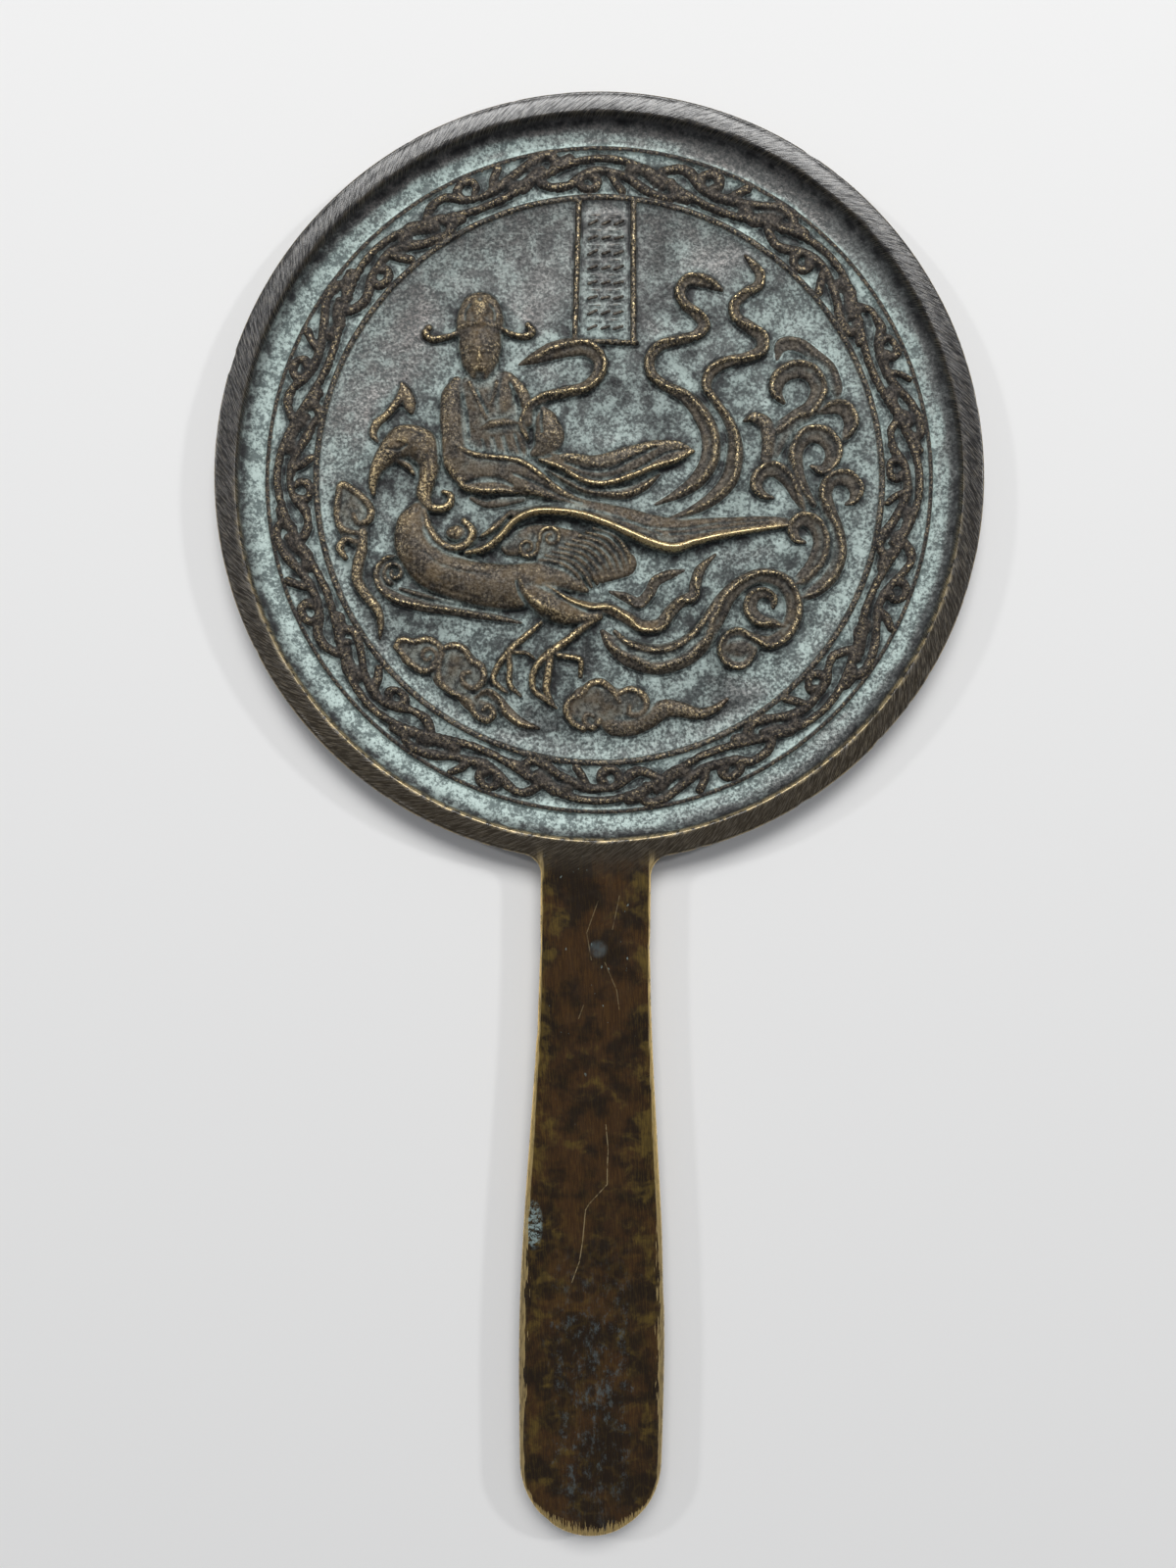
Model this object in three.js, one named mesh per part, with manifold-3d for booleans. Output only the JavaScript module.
// A cast bronze hand mirror with a long flat handle, lying on its polished face with the decorated side up.
// Millimetres, +Z up. The origin is the centre of the disc on the polished face. The handle runs along -Y.
// The whole mirror is one casting: a round plate with a raised rim and a handle, a recessed picture field,
// a ring of vine scroll, and a rider on a phoenix among clouds in relief.
import * as THREE from "three";
import { mergeVertices } from "three/addons/utils/BufferGeometryUtils.js";
import Module from "manifold-3d";

const wasm = await Module();
wasm.setup();

// Disc and rim
const discRadius = 63;
const rimWidth = 3.5;
const rimHeight = 4.6;
const edgeChamfer = 0.4;

// The dished back inside the rim, from the foot of the wall to the flat floor
const floorHeight = 1.7;
const wallFootHeight = 3.1;
const wallRun = 0.5;
const slopeRun = 3.3;
const rimInside = discRadius - rimWidth;
const wallFootRadius = rimInside - wallRun;
const slopeFootRadius = wallFootRadius - slopeRun;

// The two raised lines that hold the vine band
const lineWidth = 1.3;
const lineHeight = 0.65;
const bandWidth = 8.1;
const outerLineGap = 0.15;
const outerLineRadius = slopeFootRadius - outerLineGap - lineWidth / 2;
const pictureRadius = outerLineRadius - bandWidth;

// Handle
const handleLength = 110.3;
const neckWidth = 18;
const gripWidth = 23.8;
const gripShare = 0.8;
const endRoundLength = 11.8;
const shoulderFillet = 3.5;

// Relief
const reliefHeight = 2.3;
const reliefRoot = 0.3;
const longestStep = 13;
const widestTurn = 0.95;
const vineWaves = 8;
const vineWidth = 1.5;
const vineHeight = 0.9;

const discSides = 50;
const turnedSides = 46;
const handleSteps = 5;
const endSteps = 7;

const bronze = new THREE.MeshStandardMaterial({
  name: "patinated_bronze",
  color: new THREE.Color(0.3, 0.25, 0.2),
  roughness: 0.5,
  metalness: 0.75,
});

// Solids are joined and cut as manifolds, and go back to three.js geometry at the end.
function solidFrom(geometry) {
  const bare = geometry.clone();
  bare.deleteAttribute("normal");
  bare.deleteAttribute("uv");
  const merged = mergeVertices(bare, 1e-4);
  return new wasm.Manifold(
    new wasm.Mesh({
      numProp: 3,
      vertProperties: new Float32Array(merged.attributes.position.array),
      triVerts: new Uint32Array(merged.index.array),
    }),
  );
}

function geometryFrom(solid) {
  const mesh = solid.getMesh();
  const geometry = new THREE.BufferGeometry();
  geometry.setAttribute("position", new THREE.BufferAttribute(mesh.vertProperties, 3));
  geometry.setIndex(new THREE.BufferAttribute(mesh.triVerts, 1));
  geometry.computeVertexNormals();
  return geometry;
}

// Half the handle's width at a share of the way from the neck to where its end rounds off
function handleHalfWidth(share) {
  const swell = THREE.MathUtils.smoothstep(share, 0.1, gripShare);
  const easing = THREE.MathUtils.smoothstep(share, gripShare, 1.3);
  return (neckWidth + (gripWidth - neckWidth) * (swell - 0.3 * easing)) / 2;
}

// The outline of disc and handle, seen from above
function mirrorOutline() {
  const points = [];
  const filletX = neckWidth / 2 + shoulderFillet;
  const filletY = -Math.sqrt((discRadius + shoulderFillet) ** 2 - filletX ** 2);
  const neckAngle = Math.atan2(filletY, filletX);
  const span = 2 * Math.PI - (-Math.PI / 2 - neckAngle) * -2;
  for (let i = 0; i <= discSides; i++) {
    const angle = neckAngle + (span * i) / discSides;
    points.push([discRadius * Math.cos(angle), discRadius * Math.sin(angle)]);
  }
  const side = handleSide(filletX, filletY, neckAngle);
  const left = side.map(([x, y]) => [-x, y]);
  return [...points, ...left, ...side.reverse().slice(1)];
}

// One side of the handle from the shoulder down to the tip, on the +X side
function handleSide(filletX, filletY, neckAngle) {
  const side = [];
  const filletSteps = 3;
  const from = neckAngle + Math.PI;
  for (let i = 1; i <= filletSteps; i++) {
    const angle = from + ((Math.PI - from) * i) / filletSteps;
    side.push([filletX + shoulderFillet * Math.cos(angle), filletY + shoulderFillet * Math.sin(angle)]);
  }
  const tipY = -discRadius - handleLength;
  const roundY = tipY + endRoundLength;
  for (let i = 1; i <= handleSteps; i++) {
    const share = i / handleSteps;
    side.push([handleHalfWidth(share), filletY + (roundY - filletY) * share]);
  }
  for (let i = 1; i <= endSteps; i++) {
    const turn = ((Math.PI / 2) * i) / endSteps;
    side.push([handleHalfWidth(1) * Math.cos(turn), roundY - endRoundLength * Math.sin(turn)]);
  }
  return side;
}

// Plate and handle as one flat blank with softened edges
function blank() {
  const shape = new THREE.Shape(mirrorOutline().map(([x, y]) => new THREE.Vector2(x, y)));
  const geometry = new THREE.ExtrudeGeometry(shape, {
    depth: rimHeight - 2 * edgeChamfer,
    bevelEnabled: true,
    bevelThickness: edgeChamfer,
    bevelSize: edgeChamfer,
    bevelOffset: -edgeChamfer,
    bevelSegments: 1,
  });
  geometry.translate(0, 0, edgeChamfer);
  return solidFrom(geometry);
}

// What is turned out of the blank: the steep wall inside the rim, the hollow slope, and the floor, on
// which the two raised lines stay
function dish() {
  const above = rimHeight + 2;
  const line = (radius) => [
    [radius - lineWidth / 2, floorHeight],
    [radius, floorHeight + lineHeight],
    [radius + lineWidth / 2, floorHeight],
  ];
  const slopeRise = wallFootHeight - floorHeight;
  const slopeMiddle = [(wallFootRadius + slopeFootRadius) / 2, floorHeight + slopeRise * 0.36];
  const profile = [
    [0, floorHeight],
    ...line(pictureRadius),
    ...line(outerLineRadius),
    [slopeFootRadius, floorHeight],
    slopeMiddle,
    [wallFootRadius, wallFootHeight],
    [rimInside, rimHeight],
    [rimInside, above],
    [0, above],
  ];
  const geometry = new THREE.LatheGeometry(
    profile.map(([r, z]) => new THREE.Vector2(Math.max(r, 0), z)),
    turnedSides,
  );
  geometry.rotateX(Math.PI / 2);
  return solidFrom(geometry);
}

// Cross sections of the relief's strokes, as [across, up] with across from -1 to 1 and up from 0 to 1.
// A ribbon's crest leans to the outside of each bend.
const sections = {
  line: () => [[0, 1]],
  ribbon: (lean) => [[0.6 * lean, 1]],
  plate: () => [
    [-0.8, 1],
    [0.8, 1],
  ],
  mound: () => [
    [-0.66, 0.82],
    [0, 1.04],
    [0.66, 0.82],
  ],
};

// A stroke swept along a smooth curve through its knots. A knot is [x, y, width, height], with x, y and
// width in hundredths of the picture's radius and height as a share of the relief's full height.
function stroke(kind, height, knots) {
  const unit = pictureRadius / 100;
  const curve = new THREE.CatmullRomCurve3(
    knots.map(([x, y]) => new THREE.Vector3(x * unit, y * unit, 0)),
    false,
    "centripetal",
  );
  const stations = stationShares(curve, knots, unit);
  const places = stations.map((share) => curve.getPoint(share));
  const sideways = stations.map((share) => {
    const along = curve.getTangent(share);
    return new THREE.Vector3(along.y, -along.x, 0);
  });
  const rings = places.map((place, i) => {
    const half = (valueAt(knots, stations[i], 2, 2) * unit) / 2;
    const top = valueAt(knots, stations[i], 3, height) * reliefHeight;
    const section = sections[kind](THREE.MathUtils.clamp(bendAt(places, i) * half * 2.4, -1, 1));
    const reaches = [-1, 1].map((side) => Math.min(half, clearance(places, sideways, i, side)));
    return [[-1, -reliefRoot / top], ...section, [1, -reliefRoot / top]].map(([across, up]) => {
      const edge = place.clone().addScaledVector(sideways[i], across * reaches[across < 0 ? 0 : 1]);
      return [edge.x, edge.y, floorHeight + up * top];
    });
  });
  return skinned(rings);
}

// How far a cross section can reach to one side before it would cross the one before or after it
function clearance(places, sideways, i, side) {
  const distances = [i - 1, i + 1]
    .filter((k) => places[k])
    .map((k) => {
      const gap = places[k].clone().sub(places[i]);
      const spread = sideways[i].clone().cross(sideways[k]).z;
      const meeting = gap.cross(sideways[k]).z / spread;
      return Math.abs(spread) > 1e-6 && meeting * side > 0 ? Math.abs(meeting) : Infinity;
    });
  return 0.85 * Math.min(...distances);
}

// Where along a curve its cross sections stand: closer together where it bends or changes its width
function stationShares(curve, knots, unit) {
  const samples = 8 * (knots.length - 1);
  const effort = [0];
  let [before, heading] = [curve.getPoint(0), curve.getTangent(0)];
  for (let i = 1; i <= samples; i++) {
    const place = curve.getPoint(i / samples);
    const tangent = curve.getTangent(i / samples);
    const widening = valueAt(knots, i / samples, 2, 2) - valueAt(knots, (i - 1) / samples, 2, 2);
    const cost =
      tangent.angleTo(heading) / widestTurn +
      place.distanceTo(before) / longestStep +
      (Math.abs(widening) * unit) / longestStep;
    effort.push(effort[i - 1] + cost);
    [before, heading] = [place, tangent];
  }
  const stations = Math.max(2, Math.round(effort[samples]));
  return Array.from({ length: stations + 1 }, (_, i) => {
    const wanted = (effort[samples] * i) / stations;
    const after = Math.max(1, effort.findIndex((value) => value >= wanted - 1e-9));
    return (after - (effort[after] - wanted) / (effort[after] - effort[after - 1])) / samples;
  });
}

function valueAt(knots, share, column, fallback) {
  const place = share * (knots.length - 1);
  const k = THREE.MathUtils.clamp(Math.floor(place), 0, knots.length - 2);
  const [a, b] = [knots[k][column] ?? fallback, knots[k + 1][column] ?? fallback];
  return a + (b - a) * (place - k);
}

// How sharply the path bends at a station, in turns of direction per millimetre, positive to the left
function bendAt(places, i) {
  if (i === 0 || i === places.length - 1) return 0;
  const into = places[i].clone().sub(places[i - 1]);
  const out = places[i + 1].clone().sub(places[i]);
  const turn = Math.atan2(into.x * out.y - into.y * out.x, into.dot(out));
  return turn / ((into.length() + out.length()) / 2);
}

// A closed skin over rings of equal size, with a flat cap at each end
function skinned(rings) {
  const size = rings[0].length;
  const index = [];
  for (let r = 0; r + 1 < rings.length; r++) {
    for (let i = 0; i < size; i++) {
      const next = (i + 1) % size;
      const [a, b, c, d] = [r * size + i, r * size + next, (r + 1) * size + next, (r + 1) * size + i];
      index.push(a, b, c, a, c, d);
    }
  }
  const last = (rings.length - 1) * size;
  for (let i = 1; i + 1 < size; i++) {
    index.push(0, i + 1, i);
    index.push(last, last + i, last + i + 1);
  }
  const geometry = new THREE.BufferGeometry();
  geometry.setAttribute("position", new THREE.Float32BufferAttribute(rings.flat(2), 3));
  geometry.setIndex(index);
  return solidFrom(geometry);
}

// A round scroll that winds from its outer radius to its inner one
function scroll([x, y], outer, inner, fromDegrees, sweepDegrees, width) {
  const steps = Math.max(4, Math.round(Math.abs(sweepDegrees) / 50));
  return Array.from({ length: steps + 1 }, (_, i) => {
    const share = i / steps;
    const angle = THREE.MathUtils.degToRad(fromDegrees + sweepDegrees * share);
    const radius = outer + (inner - outer) * share;
    return [x + radius * Math.cos(angle), y + radius * Math.sin(angle), width * (1 - 0.35 * share)];
  });
}

// Strokes spread evenly between a first and a last one, as feathers in a wing
function fan(count, first, last) {
  return Array.from({ length: count }, (_, i) =>
    first.map((knot, k) => knot.map((value, c) => value + ((last[k][c] - value) * i) / (count - 1))),
  );
}

// One half wave of the vine, at an angle in degrees and a distance in millimetres from the middle of the
// band. Every second half wave is the same drawing turned by half a turn.
const vineHalfWave = {
  tendril: [
    [-10.8, -1],
    [-8.4, -2.1],
    [-4.4, -0.7],
    [-0.6, 0.2],
    [5, -1],
    [10.2, -2.9],
    [12.6, -2.2],
    [12, -1],
  ],
  curl: [
    [-4.4, -1.3],
    [-4.1, -2.6],
    [-2.2, -2.7],
    [-1.3, -1.5],
  ],
};

function vineBand() {
  const unit = pictureRadius / 100;
  const middle = (pictureRadius + outerLineRadius) / 2;
  const waveDepth = (outerLineRadius - pictureRadius - lineWidth) * 0.32;
  const turn = 360 / vineWaves;
  const width = vineWidth / unit;
  const at = (degrees, offset, wide) => {
    const angle = THREE.MathUtils.degToRad(degrees);
    const radius = (middle + offset) / unit;
    return [radius * Math.cos(angle), radius * Math.sin(angle), wide];
  };
  const found = [];
  const share = vineHeight / reliefHeight;
  const stemKnots = 4;
  for (let half = 0; half < 2 * vineWaves; half++) {
    const sign = half % 2 === 0 ? 1 : -1;
    const centre = 90 - (half * turn) / 2;
    const stem = Array.from({ length: stemKnots + 1 }, (_, i) => {
      const phase = (i / stemKnots - 0.5) * Math.PI;
      return at(centre - ((turn / 2) * phase) / Math.PI, sign * waveDepth * Math.cos(phase), width);
    });
    found.push(stroke("line", share, stem));
    for (const drawn of Object.values(vineHalfWave)) {
      const knots = drawn.map(([degrees, offset]) => at(centre - degrees, sign * offset, width * 0.9));
      found.push(stroke("line", share * 0.95, knots));
    }
  }
  return found;
}

// The rider: cap, head, robe and scarf
function rider() {
  return [
    stroke("line", 0.45, [
      [-50, 51.3, 2.2], [-55, 49.8, 2.6], [-59.5, 49.2, 3], [-61.8, 51, 3], [-60.6, 53.3, 2.2],
    ]),
    stroke("line", 0.45, [
      [-34.5, 52.4, 2.2], [-30.5, 50.9, 2.2], [-26.5, 50.4, 2.6], [-24, 52, 2.8], [-25.6, 54.4, 2],
    ]),
    stroke("mound", 0.84, [
      [-42.5, 51.5, 16.5, 0.88], [-42.5, 55, 17.6, 0.84], [-42.5, 58.6, 15.4, 0.8],
      [-42.5, 60.6, 10, 0.6],
    ]),
    stroke("mound", 0.95, [
      [-42.4, 54, 8, 0.9], [-42.4, 58, 10.4, 0.97], [-42.4, 61, 9, 0.9], [-42.4, 62.9, 4.5, 0.55],
    ]),
    stroke("mound", 0.9, [
      [-42.4, 35.2, 4, 0.5], [-42.4, 38, 9.6, 0.82], [-42.4, 42.5, 14, 0.94], [-42.4, 47, 15.8, 0.96],
      [-42.4, 52.3, 15.6, 0.9],
    ]),
    stroke("line", 1, [[-42.4, 49, 1.8, 1], [-42.4, 45.2, 2.2, 1.08], [-42.4, 43.2, 3, 1.06]]),
    stroke("line", 1, [
      [-48, 48.4, 1.8, 0.94], [-45, 49.5, 2, 1.02], [-42.4, 48.9, 2, 1.02], [-39.8, 49.5, 2, 1.02],
      [-36.8, 48.4, 1.8, 0.94],
    ]),
    stroke("mound", 0.45, [
      [-40.5, 35.5, 12, 0.3], [-40.5, 28, 23, 0.45], [-39.5, 20, 26, 0.46], [-38, 12, 25, 0.42],
      [-37, 6, 24, 0.4],
    ]),
    stroke("mound", 0.72, [
      [-50.6, 34.2, 4, 0.35], [-52, 29, 8.4, 0.6], [-52, 21, 9.4, 0.72], [-51.2, 13, 9.2, 0.74],
      [-49, 6, 11, 0.72],
    ]),
    stroke("mound", 0.78, [
      [-53, 12, 5, 0.6], [-49.4, 6.4, 10, 0.78], [-43, 4.4, 9.4, 0.8], [-35, 4, 8, 0.78],
      [-27, 3, 8, 0.75], [-20, -0.6, 7, 0.68], [-12, -4.6, 5, 0.55], [-4, -7.2, 3.5, 0.45],
      [8, -9.3, 1.6, 0.28],
    ]),
    stroke("line", 0.58, [
      [-50.6, 0.2, 2, 0.4], [-47, -2.7, 3, 0.56], [-41, -3.6, 3.2, 0.6], [-34, -3.6, 2.6, 0.5],
      [-28, -4.5, 1.4, 0.3],
    ]),
    stroke("plate", 0.22, [[-45, -6.4, 2], [-40, -8.7, 2.6], [-34, -7.6, 4], [-27, -6.6, 2.6]]),
    stroke("line", 0.57, [[-46, 33.6, 1.8], [-43, 27.6, 2.2], [-40, 21, 2]]),
    stroke("line", 0.57, [[-36.3, 34.2, 1.8], [-37, 30, 2.2], [-38.4, 26, 1.8]]),
    stroke("mound", 0.55, [
      [-33.6, 36.5, 4, 0.4], [-33.3, 31, 7, 0.56], [-33.6, 26, 7, 0.56], [-34.6, 22.6, 5, 0.46],
    ]),
    stroke("mound", 0.55, [
      [-32, 36.6, 3, 0.35], [-28.5, 31.6, 5.4, 0.52], [-26, 26, 6, 0.56], [-25.5, 20, 5, 0.5],
    ]),
    stroke("mound", 0.62, [
      [-42.4, 17, 2.6, 0.45], [-38, 18.9, 4.4, 0.62], [-33, 19.8, 4, 0.62], [-28.6, 19.4, 2, 0.45],
    ]),
    stroke("mound", 0.6, [
      [-20, 25, 2.6, 0.35], [-19, 20.5, 8, 0.56], [-17.8, 15.5, 10.4, 0.62], [-18.8, 11.6, 8, 0.5],
      [-23.4, 9.2, 2.4, 0.3],
    ]),
    ...fan(
      2,
      [[-40.6, 14.6, 1.6, 0.5], [-39.6, 11.6, 1.8, 0.52], [-39.8, 8.8, 1.6, 0.5]],
      [[-32, 15.8, 1.6, 0.5], [-30, 12, 1.8, 0.52], [-28, 8.6, 1.6, 0.5]],
    ).map((knots) => stroke("line", 0.5, knots)),
    stroke("ribbon", 0.72, [
      [-25.6, 14.4, 2.4, 0.6], [-27.2, 19, 3.6], [-25, 25, 4], [-20, 28.8, 4], [-12.5, 30.8, 4],
      [-4.6, 33, 4.4], [-0.2, 38, 4.8], [-0.4, 43, 5, 0.66], [-4.6, 46.6, 5.6, 0.6],
      [-11, 46.9, 6.4, 0.55], [-17.5, 45.3, 6, 0.5], [-23.5, 42.8, 4.2, 0.42], [-29, 40.4, 1.2, 0.25],
    ]),
  ];
}

// The robe's loose end, and the two long ribbons that fly up from it
function flyingCloth() {
  return [
    stroke("ribbon", 0.52, [
      [-18, 8.4, 1.6, 0.4], [-11, 7.6, 3.5], [-3, 5.8, 4.6], [4, 6.8, 4.6], [10, 10, 4.6],
      [16, 12.3, 4], [22.5, 12.6, 2, 0.4],
    ]),
    stroke("ribbon", 0.7, [
      [-21, 5.8, 1.6, 0.5], [-14, 3.4, 3.5, 0.6], [-7, 0.7, 4.5], [0, -0.7, 5], [7, 0.9, 6], [14, 5, 7],
      [21, 8.8, 7.6], [27, 10.6, 5.4, 0.62], [33, 10.6, 1.2, 0.4],
    ]),
    stroke("ribbon", 0.46, [
      [-14, 0.8, 1.2, 0.3], [-8, -2.8, 2.6], [0, -5, 3.2], [7, -5.6, 3.6], [13, -3.8, 3.4],
      [19, 0.8, 1.2, 0.3],
    ]),
    stroke("ribbon", 0.62, [
      [20, -8.4, 1.6, 0.2], [28, -4.6, 4, 0.35], [35, 0.6, 6, 0.45], [39.2, 8, 7, 0.55],
      [39.3, 16, 6.8], [36, 23.5, 6.4], [30, 30, 4.8], [23, 33.6, 4], [18.3, 37.6, 4], [17.6, 43, 4],
      [21, 47.6, 4.2], [28, 49.8, 4], [34, 51.6, 4], [36.6, 55, 4.6], [34, 59, 4.6], [29.6, 62.5, 4],
      [28, 67, 4], [30.5, 70.8, 4.6], [35.5, 71, 5.2], [39.6, 69.5, 4.2, 0.5], [42.8, 67.6, 1.8, 0.35],
    ]),
    stroke("ribbon", 0.62, [
      [23, -14, 1.4, 0.2], [32, -11, 3.5, 0.35], [41, -5.4, 5.4, 0.45], [46.2, 1, 6.4, 0.55],
      [48, 9, 6], [47.6, 16, 4.8], [45.2, 22, 3.6], [41, 28, 3.2], [37.7, 33.4, 3.6], [39, 38.4, 4.6],
      [44.5, 42, 4.4], [51.5, 43.6, 4.2], [57, 46.6, 4.6], [57, 51, 5], [52.5, 54.6, 4.8],
      [48, 58, 4.2], [47.3, 62.4, 4.2], [51, 66.4, 4.2], [55.6, 69.3, 4], [56.3, 73, 4],
      [53.6, 77, 3.2, 0.5], [51, 79.8, 1.4, 0.35],
    ]),
  ];
}

// The phoenix: crest, head, collar, body, legs and wing
function phoenix() {
  return [
    stroke("line", 0.42, [
      [-78, 12.6, 1.4, 0.25], [-80, 15.2, 2.6, 0.36], [-79, 19, 3.2], [-76, 21.6, 2.6],
      [-73.5, 24.5, 2.6], [-70.8, 28, 3.6], [-69.8, 32.6, 1.8, 0.3],
    ]),
    stroke("mound", 0.42, [
      [-70, 33.4, 1.6, 0.3], [-68.6, 30, 4.8], [-67.3, 26.5, 4.6], [-66.6, 23.4, 1.8, 0.3],
    ]),
    stroke("mound", 0.88, [
      [-81.3, -7.4, 1.2, 0.3], [-80.9, -2.6, 3.2, 0.5], [-78, 3, 5.4, 0.66], [-74, 8, 9.6, 0.8],
      [-69, 11.8, 13.4], [-63.4, 10.8, 12.4], [-60, 5, 8, 0.76], [-60.6, -1, 6.4, 0.7],
      [-61.6, -6, 5.6, 0.64], [-60, -9.8, 3.6, 0.6], [-56, -10.8, 2.8, 0.6], [-52.8, -9.2, 2.8, 0.6],
      [-52.4, -6, 2.4, 0.55], [-55, -4.6, 1.6, 0.45],
    ]),
    stroke("line", 0.66, [
      [-63, -12.4, 2, 0.5], [-60.8, -18, 2.6], [-57, -22.8, 3], [-51.5, -25, 2.6], [-47, -23.4, 2.6],
      [-45.6, -19.5, 2.4], [-48, -15.8, 1.6, 0.45],
    ]),
    stroke("mound", 0.5, [[-52, -19.4, 3.6, 0.4], [-49.9, -19.4, 4.8], [-47.8, -19.4, 3.6, 0.4]]),
    stroke("mound", 0.92, [
      [-65, -12.4, 5, 0.5], [-66.2, -17.5, 10, 0.75], [-65, -24.5, 13], [-59, -31, 14.6],
      [-50, -35.3, 15], [-40, -37.6, 15], [-30, -38, 15.4, 0.88], [-21, -36, 14, 0.8],
      [-12, -36, 8, 0.6], [-4, -39, 2, 0.3],
    ]),
    stroke("mound", 0.95, [
      [-28, -35.6, 3.4, 0.6], [-24, -40, 8.4, 0.88], [-18, -44, 9.8], [-11.5, -47.2, 8.4, 0.9],
      [-5, -48.6, 5, 0.7], [0.4, -48.2, 3, 0.5],
    ]),
    stroke("line", 0.5, [
      [0.4, -48.2, 3], [-5, -52, 3], [-11, -57, 2.8], [-16.5, -61, 3], [-20.8, -65, 2.6],
      [-23, -70, 2.4], [-22.3, -74.5, 2.4, 0.42], [-18, -78, 2, 0.38], [-14.4, -80.8, 1.2, 0.28],
    ]),
    stroke("line", 0.48, [[-16.5, -61.5, 2.6], [-17.3, -68, 3], [-18, -74.5, 2.8], [-15.5, -79.6, 1.4, 0.3]]),
    stroke("line", 0.42, [[-14, -62, 2], [-9.5, -62.7, 2], [-6.2, -63.6, 2.2], [-6, -69.6, 1.8, 0.34]]),
    stroke("line", 0.44, [
      [-20, -50.5, 1.8, 0.35], [-25.5, -55.5, 2.4], [-31, -60.5, 2.6], [-34.8, -65.5, 2.4],
      [-36.8, -70.8, 2.2], [-33.5, -74.3, 1.8, 0.36], [-31.8, -75.4, 1.2, 0.28],
    ]),
    stroke("line", 0.4, [[-31.4, -61, 2.2], [-31, -67, 2.2], [-31, -72.5, 2.2], [-27, -76.6, 1.2, 0.28]]),
    stroke("line", 0.36, [[-30, -61.2, 1.8], [-25, -61.5, 1.4]]),
    stroke("plate", 0.36, [
      [-31, -23, 8, 0.3], [-22, -22, 12], [-10, -25.5, 15], [1, -28.5, 15], [9, -29.5, 9, 0.26],
    ]),
    stroke("mound", 0.7, [
      [-30, -13, 2.4, 0.5], [-18, -10.6, 2.8, 0.6], [-4, -11.2, 4.6, 0.64], [8, -14.8, 6.5],
      [18, -18.6, 8], [27, -20, 8.4], [36, -18.2, 7.4, 0.64], [47, -16.4, 5.6, 0.55],
      [58, -14.8, 4.2, 0.45], [66.4, -14, 2.6, 0.35],
    ]),
    stroke("line", 1, [
      [-46.6, -26.4, 2.2, 0.6], [-40, -24.8, 3, 0.78], [-34.5, -20.6, 3, 0.88], [-29.5, -15, 3, 0.94],
      [-23, -12, 3], [-15, -11.6, 3], [-6, -12.8, 3.2], [3, -15.8, 3.4], [12, -19.6, 3.6],
      [20, -22.8, 4], [26.5, -24, 4], [34, -21.8, 3.2, 0.9], [45, -19.2, 2.6, 0.76],
      [56, -17.2, 2, 0.6], [66.6, -15.6, 1.2, 0.45],
    ]),
    stroke("line", 0.34, [[-41.6, -20.4, 1.4], [-36, -16.6, 3], [-31, -11.4, 1.6]]),
    ...fan(
      5,
      [[-20, -28.4, 1.6, 0.5], [-12.5, -29.6, 2.4, 0.6], [-7, -33.6, 2.4, 0.52], [-3.6, -39, 1.2, 0.36]],
      [[-3, -17.6, 1.6, 0.5], [5, -20.4, 2.4, 0.52], [9.6, -25.4, 2.4, 0.44], [11.4, -31.6, 1.2, 0.3]],
    ).map((knots) => stroke("line", 0.5, knots)),
    stroke("line", 0.52, scroll([-25, -24.2], 3.5, 1.2, 20, -420, 1.8)),
    stroke("line", 0.52, scroll([-16.8, -20.6], 3.8, 1.2, 200, -420, 1.9)),
  ];
}

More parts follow.
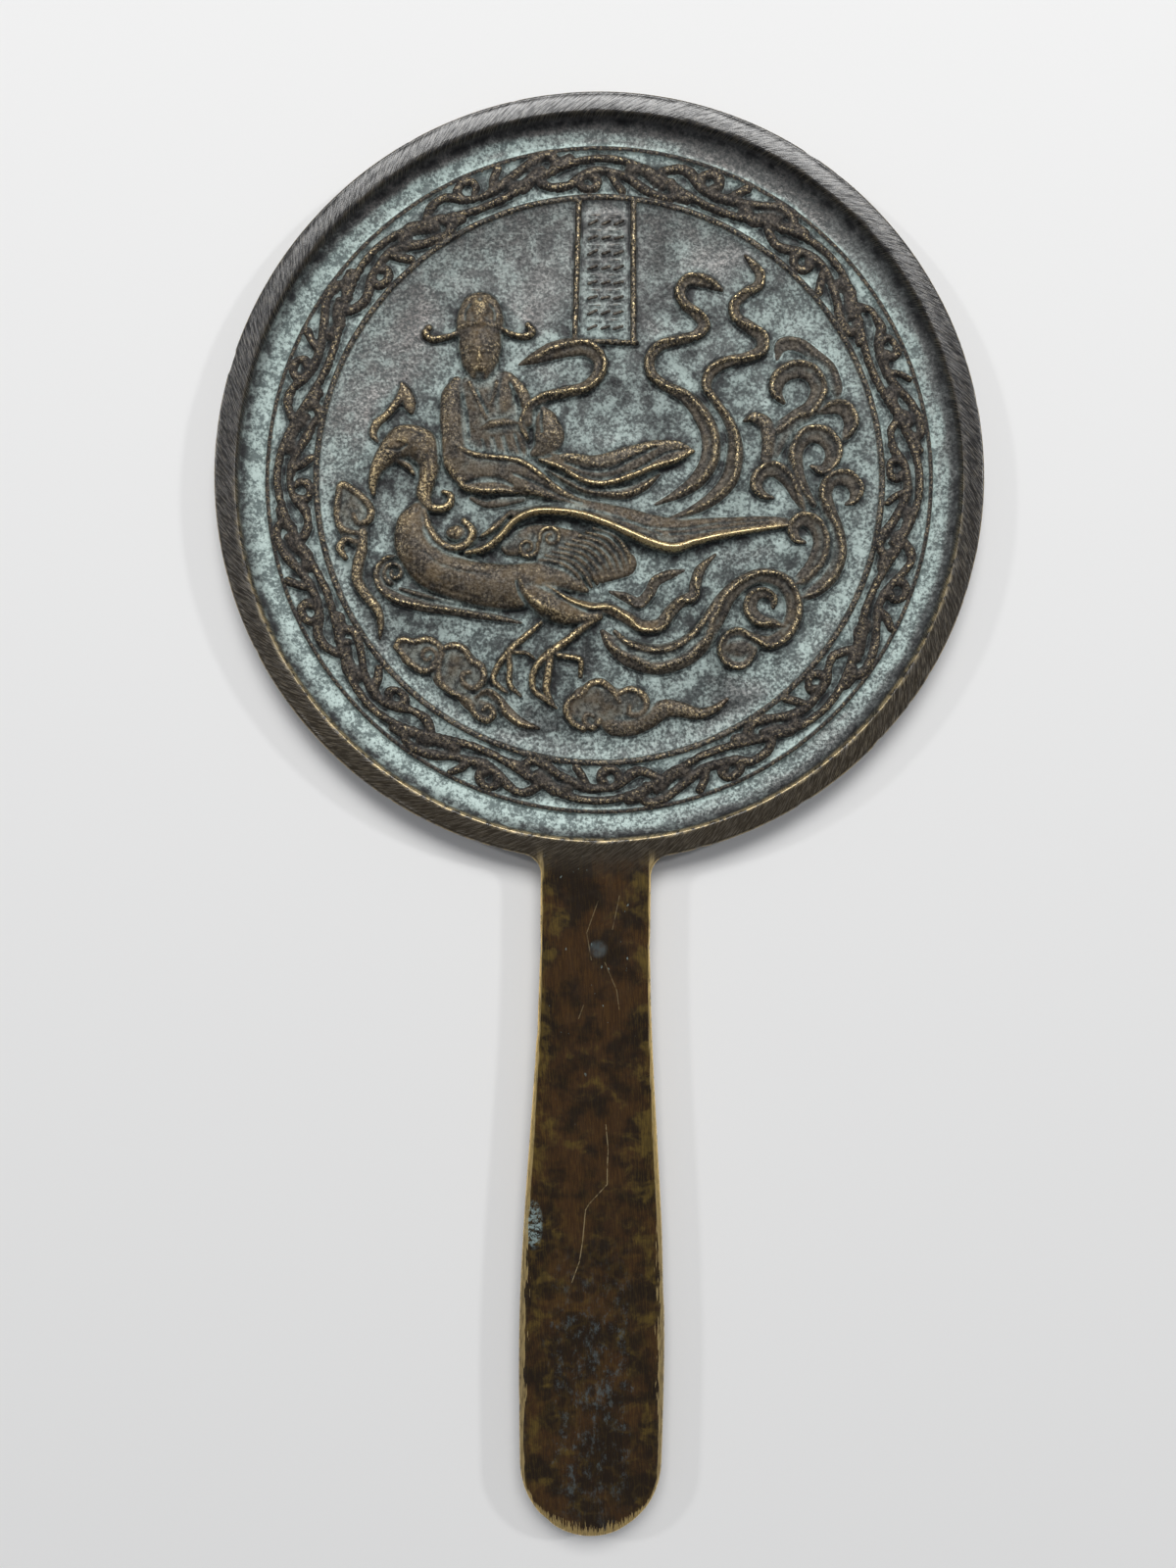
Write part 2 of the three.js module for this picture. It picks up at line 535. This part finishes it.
// The plumes of the tail with their curled ends, and the plume and swirl in front of the breast
function plumes() {
  return [
    stroke("ribbon", 0.62, [
      [-21, -36.4, 1.8, 0.6], [-15.5, -39.5, 2.6, 0.9], [-9.5, -43, 3, 0.92], [-3, -45, 3.4, 0.76],
      [4, -45.7, 3.6], [10, -48.5, 3.8], [16, -51.7, 4.2], [22, -51, 4.2], [25.5, -46.5, 3.8],
      [29, -43, 3.6], [33.5, -40.5, 3.6], [34.5, -36, 3.6, 0.5], [36, -31.5, 3.2, 0.45],
      [41.4, -25.8, 1.2, 0.25],
    ]),
    stroke("ribbon", 0.35, [
      [4, -39.4, 1.6, 0.2], [9.5, -41.2, 3.2], [14.5, -43.2, 3.8], [18, -40, 3.8], [20.3, -35.6, 3.8],
      [25, -33.2, 3.4], [30.4, -31.6, 1.4, 0.2],
    ]),
    stroke("ribbon", 0.6, [
      [1.5, -53.4, 1.6, 0.35], [5, -58.5, 4, 0.5], [12, -63.3, 6], [21, -65, 6.4], [30, -62.6, 6.4],
      [37, -57, 6], [41.5, -49.5, 5.4], [46, -41.5, 4.6], [52, -36, 4.6], [59, -33.8, 4.8],
      [65.5, -35.8, 5], [69, -41.5, 5], [69, -48, 5], [65.5, -54, 4.8], [60.5, -56.3, 4],
      [55, -54.6, 3], [49.5, -52.8, 3], [45.3, -55.3, 3], [43.8, -60, 3], [46.5, -64.2, 3],
      [51, -65, 2.8], [54.6, -61.6, 2.4, 0.45], [56, -58.4, 1.4, 0.35],
    ]),
    stroke("line", 0.52, [
      [6, -54, 1.6, 0.35], [12, -58.6, 2.4], [20, -60.6, 2.4], [28, -58.8, 2.4], [34, -54.6, 2.4],
      [38.4, -48, 2],
    ]),
    stroke("ribbon", 0.58, [
      [67, -51.6, 1.6, 0.4], [62, -50.3, 3.5], [56.5, -48.8, 4.4], [53.8, -45, 4.4], [54.8, -40.8, 4],
      [58.8, -39.3, 3.4], [62, -41.5, 2.8], [62, -44.6, 1.4, 0.4],
    ]),
    stroke("mound", 0.3, [[46.4, -59.5, 6], [52.6, -58.6, 6]]),
    stroke("ribbon", 0.56, [
      [66, -38.4, 2.6, 0.3], [73, -33.6, 5, 0.4], [78, -27, 6, 0.5], [79, -20, 5.4], [76, -14.5, 5],
      [71.3, -13.3, 4.4], [68.7, -16.8, 3.8], [70, -20.3, 2.6, 0.48], [73, -21.4, 1.2, 0.35],
    ]),
    stroke("ribbon", 0.54, [
      [70, -42, 2.2, 0.3], [77, -38.3, 4.5, 0.42], [82.5, -32.5, 5], [85, -25, 5], [84, -17, 4.6],
      [81.5, -10, 4.2], [80, -3.5, 4], [82.5, 1, 4.6], [87.5, 1.6, 5.4], [91, -2.2, 5],
      [89.8, -6.6, 2.8, 0.42], [87.3, -7.8, 1.2, 0.3],
    ]),
    stroke("ribbon", 0.55, [
      [72.5, -10, 2.2, 0.35], [70, -4, 4.5, 0.46], [66.5, 1.5, 5], [61.5, 4.5, 5], [57, 2.6, 4.4],
      [55.6, -1.5, 3.8], [58, -4.8, 2.8, 0.46], [61.6, -5.8, 1.4, 0.35],
    ]),
    stroke("ribbon", 0.55, [
      [76, -8, 2.6, 0.35], [72, -2, 4, 0.45], [69.5, 5, 4.6], [69.7, 12, 4.8], [73.5, 16.6, 5.4],
      [79, 16.5, 6], [82.8, 12, 5.6], [82, 7, 4.6], [78.5, 4.2, 3.2, 0.45], [75, 5.6, 1.4, 0.35],
    ]),
    stroke("ribbon", 0.52, [
      [60, 8, 5, 0.35], [62.5, 15, 7, 0.4], [68.5, 21.5, 5.6, 0.46], [75, 26.5, 5], [77.5, 33, 5.4],
      [74.5, 38.6, 5.8], [68.5, 39.8, 5.8], [63.3, 36.5, 5.2], [62.3, 31.5, 3.8], [65, 28, 1.6, 0.35],
    ]),
    stroke("ribbon", 0.28, [
      [62.5, 43.5, 2.6, 0.2], [64.5, 48.3, 5], [70, 48.5, 5], [76, 44.6, 4.6], [81, 40, 5],
      [83.5, 33.5, 4.6], [84, 28.4, 2, 0.18],
    ]),
    stroke("ribbon", 0.5, [
      [77, 24.5, 2.2, 0.3], [81.5, 26.5, 4.4], [86.5, 26, 5.4], [89, 21.5, 5], [87.5, 17, 3.4, 0.4],
      [85.8, 15, 1.6, 0.3],
    ]),
    stroke("mound", 0.42, [
      [51, 21.3, 1.2, 0.25], [54.5, 22.6, 3.6], [58.5, 20.5, 4.6], [60, 14.5, 4.6], [59, 7.5, 4, 0.34],
    ]),
    stroke("ribbon", 0.52, [
      [-70.6, -27.4, 1.4, 0.35], [-75, -28.6, 2.2], [-78, -33, 2.6], [-76.5, -38.6, 3],
      [-71, -42.6, 3.4], [-63, -44.8, 3.4], [-53, -46.3, 3], [-43, -47.8, 2.8, 0.45],
      [-34, -49.3, 2.2, 0.36], [-27, -50.8, 1.2, 0.25],
    ]),
    stroke("line", 0.32, [
      [-70, -39, 1.4, 0.25], [-62, -41.3, 2], [-52, -43.6, 1.8], [-44, -45.3, 1.2, 0.22],
    ]),
    stroke("line", 0.36, scroll([-72, -33.4], 3.8, 1.2, 250, -420, 2)),
  ];
}

// Curled clouds: flat bodies with corded outlines
function clouds() {
  const outline = 0.42;
  return [
    stroke("plate", 0.26, [
      [-90.5, -3.6, 2], [-89, -8, 7.6], [-87, -14, 10.4], [-87, -18, 8.6], [-85, -22, 5],
    ]),
    stroke("line", outline, [
      [-86.6, -13.2, 2.2], [-84.8, -16.2, 2.8], [-81.4, -15, 3], [-80.6, -11.2, 3], [-83.4, -7.2, 3],
      [-87.5, -4, 3], [-91, -2.4, 2.8], [-92, -7, 3], [-92.4, -13, 3], [-91, -17.6, 3],
      [-87, -19.4, 2.8], [-83, -19.6, 3],
    ]),
    stroke("line", 0.45, [
      [-83.5, -19, 3.8], [-83.6, -25, 4.2], [-85, -31, 4.2], [-85, -36.5, 4], [-82, -41.5, 4],
      [-78.3, -46, 3.8], [-76.8, -51, 2.8, 0.4], [-77, -57, 1.2, 0.25],
    ]),
    stroke("line", outline, [[-85.4, -22.6, 2.8], [-89.4, -21.9, 3], [-91.4, -25, 3.2], [-89.4, -28.4, 2]]),
    stroke("plate", 0.26, [[-69.4, -59, 3], [-65, -61.5, 8.6], [-59, -62.5, 9.4]]),
    stroke("plate", 0.28, [[-54.6, -66, 5], [-50.6, -67.6, 13], [-45, -69, 9.6]]),
    stroke("plate", 0.26, [[-49, -75, 4], [-44, -79.6, 5], [-39, -82, 6]]),
    stroke("line", outline, [
      [-71.2, -59.6, 2.5], [-69.6, -57.2, 2.8], [-64.5, -57.8, 2.8], [-60, -56.9, 2.8],
      [-56, -59.3, 2.8], [-55.2, -63.5, 2.8], [-58, -67, 3], [-62.3, -67.8, 3], [-66, -65.3, 3],
      [-70.4, -60.4, 2.5],
    ]),
    stroke("line", outline, scroll([-59.8, -62.8], 2.8, 1.2, -60, 330, 2)),
    stroke("line", outline, [
      [-55, -60.3, 2.5], [-51, -59, 3], [-47, -60.5, 3], [-44.8, -64.3, 3], [-41, -66.4, 3],
      [-40.2, -70.8, 3], [-43.2, -74, 3.2], [-47, -72.6, 3], [-47.6, -69, 2.2],
    ]),
    stroke("line", outline, [
      [-54.5, -62, 2.2], [-56, -67.5, 2.8], [-55, -72.5, 2.8], [-50.5, -76, 2.8], [-45.5, -78.6, 2.8],
      [-43, -83, 2.8], [-39, -85.2, 3], [-36.2, -82.4, 3], [-38.2, -79.8, 2.2],
    ]),
    stroke("ribbon", outline, [
      [-43, -77.3, 2], [-39, -75.3, 2.8], [-35.5, -77.6, 3.8], [-32, -82, 4.2], [-27, -86, 3.5],
      [-20.5, -88, 1.5, 0.25],
    ]),
    stroke("plate", 0.3, [[-8.6, -81, 5], [-3, -79.6, 11], [4, -80, 11], [12, -79.6, 8]]),
    stroke("line", outline, [
      [-1.4, -83.6, 1.8], [-3.6, -82.8, 2.2], [-4.4, -85.3, 2.8], [-1.8, -87.6, 3], [1, -85, 2.8],
    ]),
    stroke("line", outline, [
      [-4.8, -88, 2.8], [-9, -85.3, 2.8], [-11, -81, 2.8], [-9, -77.4, 2.8], [-5.5, -76, 2.8],
      [-3, -72.6, 2.8], [1, -71.4, 3], [5.5, -74.6, 3], [8, -78.6, 2],
    ]),
    stroke("line", 0.44, [
      [7.6, -75.3, 2.5], [12, -74, 3], [16.3, -76.3, 3.2], [17.3, -80, 3.2], [14.5, -83, 3.5],
      [10.6, -82.2, 2.8],
    ]),
    stroke("mound", 0.42, [
      [2, -85.6, 3, 0.3], [6, -87, 5.4], [12, -87, 5.4], [18, -84.5, 5.4], [24, -80.7, 5.4],
      [30, -81, 4.4], [36, -82.3, 3.2], [41.5, -80.6, 2.4, 0.32], [46, -77, 1.2, 0.22],
    ]),
  ];
}

// A framed tablet that hangs from the upper line, with rows of plain marks in place of writing
function tablet() {
  const [left, right, bottom, top] = [-8.6, 11.7, 49, 98.6];
  const middle = (left + right) / 2;
  const rows = 8;
  const reach = 5.6;
  const markWidth = 2.4;
  const found = [
    stroke("line", 0.36, [[left - 0.4, bottom + 1, 3], [left + 0.6, top, 3]]),
    stroke("line", 0.36, [[right, bottom, 3], [right - 0.4, top, 3]]),
    stroke("line", 0.36, [[left + 3, bottom, 3], [right + 1, bottom - 0.4, 3]]),
  ];
  for (let row = 0; row < rows; row++) {
    const y = bottom + 5 + row * 5.3;
    const slant = row % 2 === 0 ? 1.4 : -0.9;
    found.push(stroke("line", 0.24, [[middle - reach, y, markWidth], [middle - 0.9, y + slant, markWidth]]));
    found.push(stroke("line", 0.24, [[middle + 0.9, y - slant, markWidth], [middle + reach, y, markWidth]]));
  }
  return found;
}

function mirror() {
  let solid = blank().subtract(dish());
  const forms = [
    ...vineBand(),
    ...rider(),
    ...flyingCloth(),
    ...phoenix(),
    ...plumes(),
    ...clouds(),
    ...tablet(),
  ];
  for (const form of forms) {
    solid = solid.add(form);
  }
  const mesh = new THREE.Mesh(geometryFrom(solid), bronze);
  mesh.name = "mirror";
  return mesh;
}

const handMirror = new THREE.Group();
handMirror.add(mirror());

export default handMirror;
